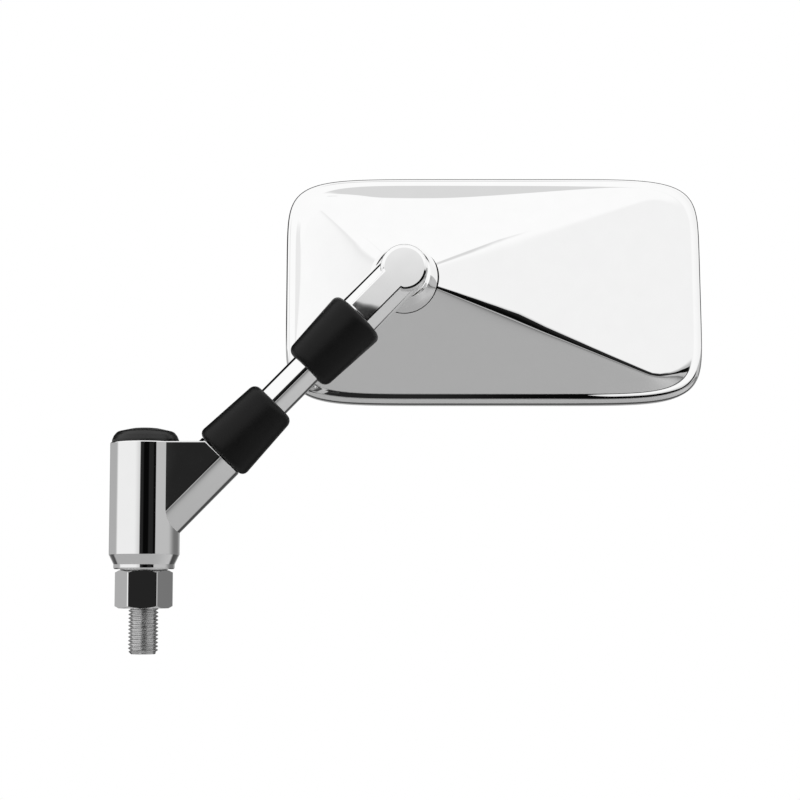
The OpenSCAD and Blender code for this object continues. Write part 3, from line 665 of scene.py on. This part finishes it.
sleeve = outline(
    (NUT_ROOM_R, 0), (WIDE_R, 0, WIDE_ROUND), (THIN_R, BOOT_LEN, THIN_ROUND), (ROD_ROOM_R, BOOT_LEN, 0.3),
    (ROD_ROOM_R, NUT_ROOM_LEN + 0.8), (NUT_ROOM_R, NUT_ROOM_LEN),
)
upright = Matrix.Translation((0, 0, LOWER_BOOT_AT))
flipped = Matrix.Translation((0, 0, UPPER_BOOT_AT)) @ Matrix.Rotation(math.pi, 4, "X")
for name, node, way_round in (
    ("lower_rubber_boot", "lower_boot", upright), ("upper_rubber_boot", "upper_boot", flipped),
):
    boot = settle(name, turned(sleeve, closed=True), ARM @ way_round, rubber, "arm", [node])


# Knuckle
# A forged bar whose flat front ends in a round, with the ball stud on its back. It is chromed all
# over. The solid's own mesh is used, with rounded edges and a narrow slope around the flat front.
KNUCKLE_EDGE = 0.3
FLAT_Y = -6.9
SLOPE_W, SLOPE_DROP = 0.35, 0.06

bm = bmesh.new()
bm.from_mesh(frame["nodes"]["knuckle"].data)
bmesh.ops.scale(bm, vec=(1 / MM, 1 / MM, 1 / MM), verts=bm.verts)
bmesh.ops.remove_doubles(bm, verts=bm.verts, dist=1e-3)
bmesh.ops.dissolve_limit(bm, angle_limit=math.radians(0.8), verts=bm.verts, edges=bm.edges)
sharp = [edge for edge in bm.edges if edge.calc_face_angle(0) > math.radians(25)]
bmesh.ops.bevel(
    bm, geom=sharp, offset=KNUCKLE_EDGE, offset_type="OFFSET", affect="EDGES", segments=3,
    profile=0.5, material=-1, clamp_overlap=True,
)
on_flat = [face for face in bm.faces if abs(face.calc_center_median().y - FLAT_Y) < 0.01]
front = max(on_flat, key=lambda face: face.calc_area())
bmesh.ops.translate(bm, vec=(0, SLOPE_DROP, 0), verts=front.verts)
for width, depth in ((SLOPE_W, SLOPE_DROP), (0.1, 0)):
    bmesh.ops.inset_region(bm, faces=[front], thickness=width, depth=depth, use_even_offset=True)
knuckle = settle("forged_knuckle", bm, UPRIGHT, chrome, "knuckle", ["knuckle"], crease=50, even=True)


# Ball joint
# Two nylon seats grip the ball in a domed cup that comes out through the shell's back. A dished
# plate on three sprung screws presses them on the ball.
dress("ball_seat_front", nylon)
dress("ball_seat_rear", nylon)
dress("socket_cup", chrome)
dress("clamp_plate", steel)
dress("clamp_screws", zinc)
dress("clamp_springs", steel)
dress("clamp_nuts", zinc)


# Back shell
# One steel pressing: an off-centre pyramid, a flange around it, a skirt, and a lip rolled in over
# the glass. The four facets meet in ridges that sharpen outwards and drop off at the corners. Its
# rings run around the ball joint's axis, which is Z here, with the glass below and the back above.
tilt = joints["head_tilt"]
roll = joints["head_roll"]
pan = joints["head_pan"]
HEAD = stand_at(tilt["pos_m"], roll["axis"], pan["axis"])
HEAD_W, HEAD_H = 149.4, 83.4
SQUARENESS = 7
CROWDING = 0.75
BOSS_OFF = 32.2
HOLE_R = 12.25
APEX = 20.0
RIM_Z = -15.5
FRONT_Z = RIM_Z - 8.5
RIM_W, RIM_DROP = 3.3, 0.3
FLAT_FLANGE, FLAT_FLANGE_FROM = 0.75, (50, 74)
DRAFT = 0.35
LIP_W = 3.2
WALL = 0.9
DEEP = 1.12 * WALL
STRIP_W, LEFT_STRIP_W = 4.7, 1.3
STRIP_SHARE = 0.65
# Where the strips widen and end, in shares of the pyramid's half width and half height. The height
# at which the left one widens is in millimetres.
TOP_STRIP_UP, TOP_STRIP_LEFT, TOP_STRIP_RIGHT = (0.85, 1), (-1.07, -0.2), (0.1, 0.92)
LEFT_STRIP_OUT, LEFT_STRIP_UP = (0.8, 1), (-30, 10)
CREASE_W = 0.4
SOFTEST_RIDGE, RIDGE_GAIN, RIDGE_POWER = 3, 62, 2.6
CORNER_STEEP = 2
BLEND_W = 0.02
FLANGE_BEND, SKIRT_BEND, LIP_BEND = 1.7, 3.6, 1.1
AROUND = 512


def rim_point(turn, inset):
    """A point of the head's outline, drawn in by an inset; the angle is crowded into the corners."""
    a = math.tau * turn
    a += CROWDING * math.sin(4 * a) / 4
    c, s = math.cos(a), math.sin(a)
    k = (abs(c) ** SQUARENESS + abs(s) ** SQUARENESS) ** (-1 / SQUARENESS)
    return Vector((BOSS_OFF + (HEAD_W / 2 - inset) * k * c, (HEAD_H / 2 - inset) * k * s, 0))


def rim_ring(inset, z):
    """A level ring of the head's outline, drawn in by an inset."""
    return lambda turn: rim_point(turn, inset) + Vector((0, 0, z))


def ramp(x, a, b):
    """0 before a, 1 past b and smooth between them."""
    t = min(1, max(0, (x - a) / (b - a)))
    return t * t * (3 - 2 * t)


def flange_ring(inset):
    """A ring of the flange, which slopes outwards except at its right end."""
    def at(turn):
        q = rim_point(turn, inset)
        drop = RIM_DROP * (1 - FLAT_FLANGE * ramp(q.x, *FLAT_FLANGE_FROM))
        return q + Vector((0, 0, RIM_Z - drop * (RIM_W - inset) / (RIM_W - WALL)))
    return at


RIGHT_A = BOSS_OFF + HEAD_W / 2 - RIM_W
LEFT_A = HEAD_W / 2 - RIM_W - BOSS_OFF
HALF_B = HEAD_H / 2 - RIM_W


def shoulder(crease):
    """Where a facet gives way to the strip along its crease, which is widest above the ball joint."""
    width = LEFT_STRIP_W * HALF_B / LEFT_A
    width *= ramp(-crease.x / LEFT_A, *LEFT_STRIP_OUT) * ramp(crease.y, *LEFT_STRIP_UP)
    if crease.y > 0:
        up = ramp(crease.y / HALF_B, *TOP_STRIP_UP)
        width += STRIP_W * up * ramp(crease.x / LEFT_A, *TOP_STRIP_LEFT)
        width *= 1 - ramp(crease.x / RIGHT_A, *TOP_STRIP_RIGHT)
    return 1 - CREASE_W / crease.length - width / HALF_B


def fall(f, crease):
    """How much of the pyramid's height is lost at share f of the way out. Ridges sharpen outwards."""
    if f >= 1:
        return 1
    n = SOFTEST_RIDGE + RIDGE_GAIN * f ** RIDGE_POWER
    u = crease.x / RIGHT_A if crease.x > 0 else -crease.x / LEFT_A
    v = abs(crease.y) / HALF_B
    a = f * (u ** n + v ** n) ** (1 / n)
    b = 1 - CORNER_STEEP * (1 - f)
    width = min(BLEND_W, 1 - f)
    return min(1, max(a, b) + max(width - abs(a - b), 0) ** 2 / (4 * width))


def facet(crease, f, drop):
    """A point of the pyramid on the way from its apex to a point of the crease."""
    out = f * shoulder(crease)
    lift = STRIP_SHARE * APEX * (1 - shoulder(crease))
    rise = lift + (APEX - lift) * (1 - fall(f, crease))
    return Vector((crease.x * out, crease.y * out, RIM_Z + rise - drop))


def facet_ring(f, drop=0):
    """A ring of the pyramid at share f of the way from its apex to its shoulder."""
    return lambda turn: facet(rim_point(turn, RIM_W), f, drop)


def short_ring(distance):
    """A ring of the pyramid that stops short of its shoulder by a distance."""
    def at(turn):
        crease = rim_point(turn, RIM_W)
        return facet(crease, 1 - distance / crease.length, 0)
    return at


def strip_ring(share):
    """A ring on the strip between shoulder and crease."""
    return lambda turn: facet_ring(1)(turn).lerp(rim_ring(RIM_W, RIM_Z)(turn), share)


def hole_ring(drop):
    """The round edge of the hole around the ball joint's cup."""
    def at(turn):
        crease = rim_point(turn, RIM_W)
        return facet(crease, HOLE_R / crease.length / shoulder(crease), drop)
    return at


def bend(before, corner, after, steps=5):
    """The rings of a bend, which cuts the corner between two others in a soft curve."""
    def at(u):
        return lambda turn: (
            before(turn) * (1 - u) ** 2 + corner(turn) * (2 * u * (1 - u)) + after(turn) * u ** 2
        )
    return [at(i / steps) for i in range(steps + 1)]


def drawn(rings, around=AROUND):
    """A bmesh extruded from ring to ring; each ring gives a point for a share of a turn."""
    bm = bmesh.new()
    ring = bmesh.ops.create_circle(bm, cap_ends=False, radius=1, segments=around)["verts"]
    turns = [(math.atan2(v.co.y, v.co.x) / math.tau) % 1 for v in ring]
    edges = bm.edges[:]
    for v, turn in zip(ring, turns):
        v.co = rings[0](turn)
    for at in rings[1:]:
        mark = {v.co.copy().freeze(): turn for v, turn in zip(ring, turns)}
        made = bmesh.ops.extrude_edge_only(bm, edges=edges)["geom"]
        ring = [part for part in made if isinstance(part, bmesh.types.BMVert)]
        turns = [mark[v.co.copy().freeze()] for v in ring]
        fresh = set(ring)
        edges = [part for part in made if isinstance(part, bmesh.types.BMEdge)]
        edges = [edge for edge in edges if fresh.issuperset(edge.verts)]
        for v, turn in zip(ring, turns):
            v.co = at(turn)
    bmesh.ops.remove_doubles(bm, verts=bm.verts, dist=1e-4)
    bmesh.ops.holes_fill(bm, edges=[edge for edge in bm.edges if edge.is_boundary], sides=0)
    bmesh.ops.recalc_face_normals(bm, faces=bm.faces)
    return bm


FACET_SHARES = (0.4, 0.5, 0.6, 0.68, 0.74, 0.79, 0.83, 0.86, 0.89, 0.91, 0.93, 0.95, 0.965, 0.98)
outside = [hole_ring(0)] + [facet_ring(f) for f in FACET_SHARES]
outside += bend(short_ring(0.3), facet_ring(1), strip_ring(0.4), 4)
outside += bend(strip_ring(0.6), rim_ring(RIM_W, RIM_Z), flange_ring(RIM_W - 0.4), 4)
outside += bend(flange_ring(FLANGE_BEND), flange_ring(0.02), rim_ring(0.03, RIM_Z - SKIRT_BEND), 9)
outside += bend(
    rim_ring(DRAFT, FRONT_Z + LIP_BEND), rim_ring(DRAFT, FRONT_Z), rim_ring(DRAFT + LIP_BEND, FRONT_Z),
)
outside += [rim_ring(LIP_W, FRONT_Z)]
inside = [
    rim_ring(LIP_W, FRONT_Z + WALL), rim_ring(DRAFT + 1.4, FRONT_Z + WALL),
    rim_ring(DRAFT + WALL, FRONT_Z + 1.5), rim_ring(WALL, RIM_Z - RIM_DROP - 1.6),
    rim_ring(WALL + 0.4, RIM_Z - RIM_DROP - WALL - 0.1), rim_ring(RIM_W, RIM_Z - WALL),
    facet_ring(1, WALL), facet_ring(0.9, DEEP), facet_ring(0.55, DEEP), hole_ring(DEEP), hole_ring(0),
]
bm = drawn(outside + inside)
shell = settle("pressed_back_shell", bm, HEAD, chrome, "head", ["back_shell"], crease=20)


# Glass
# A convex mirror glass sits in a rubber channel, which rests on the shell's lip. A foam pad behind
# the glass presses it forward.
def silvered_glass():
    """Silvered mirror glass with a faint cool tint."""
    material = bpy.data.materials.new("silvered_glass")
    paint = Paint(material)
    place = paint.add("ShaderNodeTexCoord", {}, {}, output="Object")
    film = paint.add("ShaderNodeTexNoise", {}, {"Vector": place, "Scale": 60.0, "Detail": 6.0})
    mirror = paint.add("ShaderNodeBsdfPrincipled", {}, {
        "Base Color": paint.mix(film, (0.86, 0.89, 0.89, 1), (0.88, 0.91, 0.91, 1)),
        "Metallic": 1.0,
        "Roughness": film.step(0.4, 0.8) * 0.02 + 0.006,
        "Coat Weight": 1.0,
        "Coat Roughness": 0.01,
    })
    paint.add("ShaderNodeOutputMaterial", {}, {"Surface": mirror})
    return material


def packing_foam():
    """Closed-cell foam: charcoal, matt and pitted, with painted shade darkening its pits."""
    material = bpy.data.materials.new("packing_foam")
    paint = Paint(material)
    place = paint.add("ShaderNodeTexCoord", {}, {}, output="Object")
    cells = paint.add("ShaderNodeTexVoronoi", {}, {"Vector": place, "Scale": 1500.0}, output="Distance")
    bump = paint.add("ShaderNodeBump", {}, {"Height": cells, "Strength": 0.7, "Distance": 0.0003})
    # The colour follows the pits' depth: darker in each pit, which is painted shade.
    body = paint.add("ShaderNodeBsdfPrincipled", {}, {
        "Base Color": paint.mix(cells, grey(0.02), grey(0.06)),
        "Roughness": 0.85,
        "Normal": bump,
    })
    paint.add("ShaderNodeOutputMaterial", {}, {"Surface": body})
    return material


GLASS_T = 2.5
GLASS_EDGE = 2.8
GLASS_CURVE = 1400
GLASS_Z = FRONT_Z + WALL + 0.2
SEAT_Z = FRONT_Z + WALL + 0.02
CHANNEL_OUT = DRAFT + WALL + 0.25
CHANNEL_IN = LIP_W + 0.9
CHANNEL_BACK = GLASS_T + 0.7
CHANNEL_EDGE = 0.4
SLACK = 0.02


def dished(share, inset, back):
    """A ring of the glass: its faces are shallow spheres about the head's middle."""
    def at(turn):
        q = rim_point(turn, inset)
        x, y = (q.x - BOSS_OFF) * share, q.y * share
        return Vector((BOSS_OFF + x, y, GLASS_Z + back + (x * x + y * y) / (2 * GLASS_CURVE)))
    return at


front_face = [dished(share, GLASS_EDGE, 0) for share in (0.01, 0.15, 0.3, 0.45, 0.6, 0.75, 0.9)]
rounded_edge = bend(
    dished(1, GLASS_EDGE + 0.4, 0), dished(1, GLASS_EDGE, 0), dished(1, GLASS_EDGE, 0.4), 3,
)
rear_face = [dished(share, GLASS_EDGE, GLASS_T) for share in (1, 0.7, 0.35, 0.01)]
bm = drawn(front_face + rounded_edge + rear_face, around=192)
glass = settle("convex_glass", bm, HEAD, silvered_glass(), "head", ["mirror_glass"])

channel = [
    rim_ring(CHANNEL_OUT + CHANNEL_EDGE, SEAT_Z), dished(1, CHANNEL_OUT, 0.6),
    dished(1, CHANNEL_OUT, CHANNEL_BACK - CHANNEL_EDGE), dished(1, CHANNEL_OUT + CHANNEL_EDGE, CHANNEL_BACK),
    dished(1, CHANNEL_IN, CHANNEL_BACK), dished(1, CHANNEL_IN, GLASS_T + SLACK),
    dished(1, GLASS_EDGE - SLACK, GLASS_T + SLACK), dished(1, GLASS_EDGE - SLACK, -SLACK),
    dished(1, CHANNEL_IN, -SLACK), rim_ring(CHANNEL_IN, SEAT_Z),
    rim_ring(CHANNEL_OUT + CHANNEL_EDGE, SEAT_Z),
]
bm = drawn(channel, around=192)
gasket = settle("glass_channel", bm, HEAD, rubber, "head", ["glass_gasket"])
dress("backing_pad", packing_foam())
